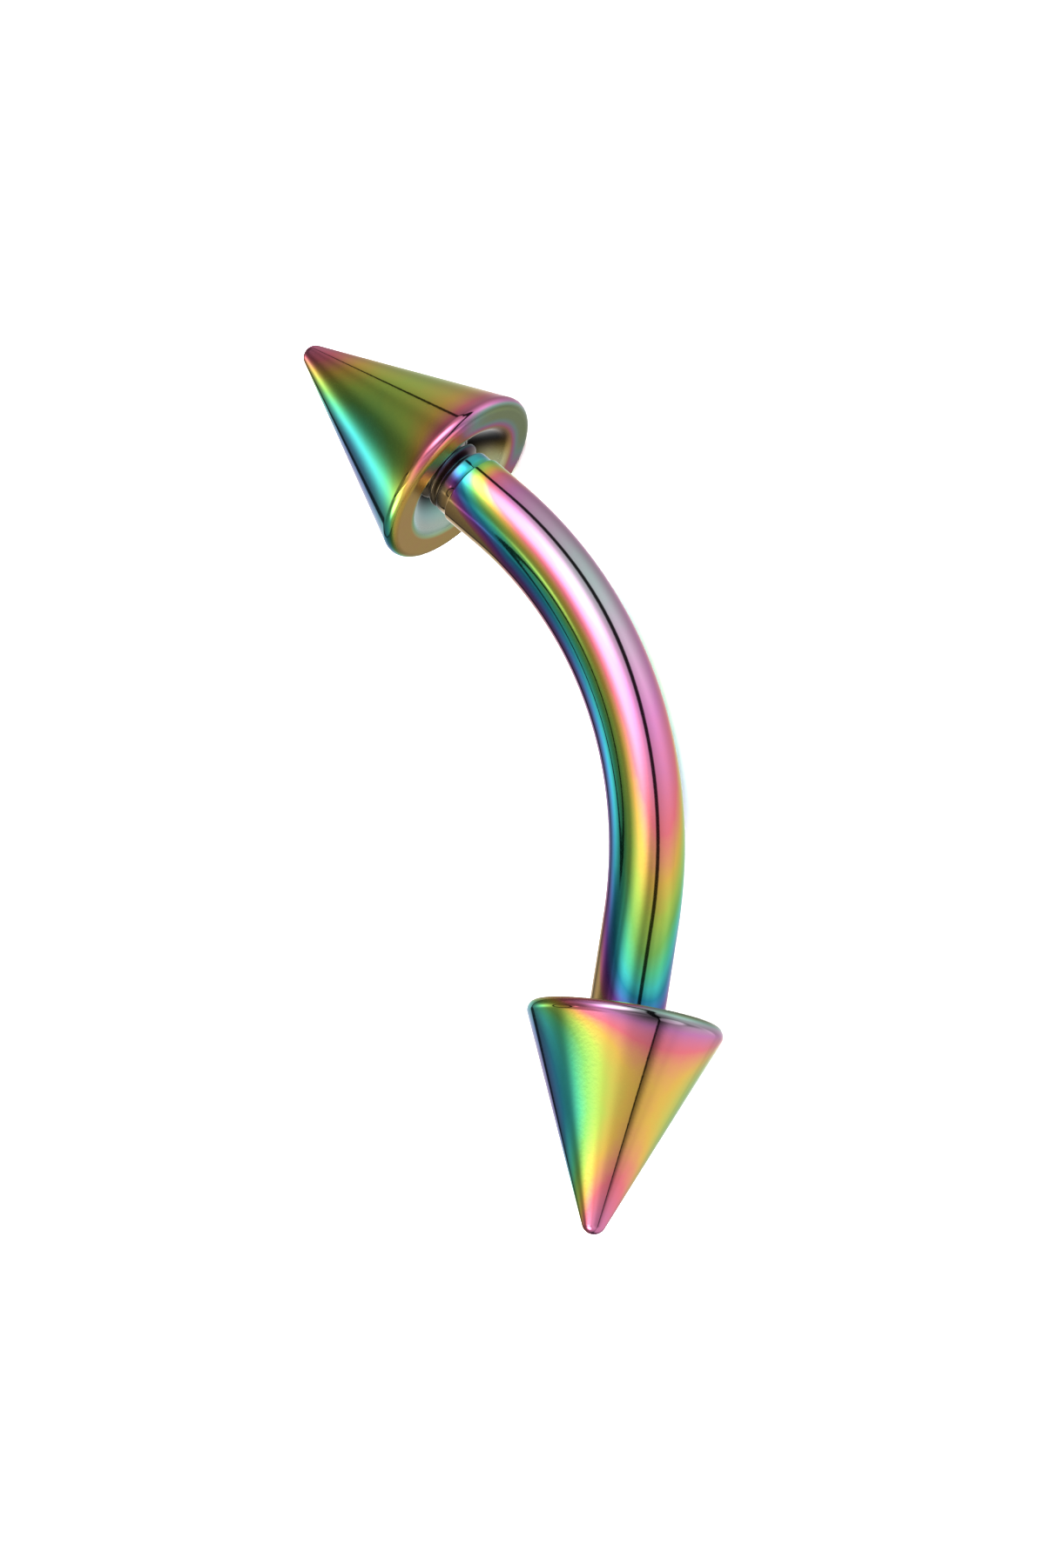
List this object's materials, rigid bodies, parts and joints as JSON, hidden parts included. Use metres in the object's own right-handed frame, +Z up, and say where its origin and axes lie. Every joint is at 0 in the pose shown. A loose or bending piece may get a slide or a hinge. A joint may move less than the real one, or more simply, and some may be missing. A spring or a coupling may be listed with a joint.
{
  "type": "curved eyebrow barbell",
  "caption": "Bent body-jewellery bar with a cone spike screwed on each threaded end, lying on its spike rims and the belly of the bend.",
  "frame": {"origin": "on the floor under the middle of the whole part's box", "axes": "+X from the lower spike to the upper spike, +Z up, and the belly of the bend towards -Y and down"},
  "size_m": [0.0152, 0.0034, 0.003],
  "materials": {
    "rainbow_bar": "mirror-polished surgical steel with a rainbow interference coat that runs from gold over pink and blue to green",
    "rainbow_spike": "mirror-polished surgical steel with a rainbow interference coat that runs from gold over pink and blue to green"
  },
  "bodies": {
    "bar": {"bar": "rainbow_bar"},
    "upper_spike": {"upper_spike": "rainbow_spike"},
    "lower_spike": {"lower_spike": "rainbow_spike"}
  },
  "joints": [
    {"name": "upper_spike_unscrew", "type": "slide", "parent": "bar", "child": "upper_spike", "axis": [0.8711, 0.3918, 0.2962], "range_m": [0, 0.002]},
    {"name": "lower_spike_unscrew", "type": "slide", "parent": "bar", "child": "lower_spike", "axis": [-0.8812, 0.3918, 0.2645], "range_m": [0, 0.002]}
  ]
}
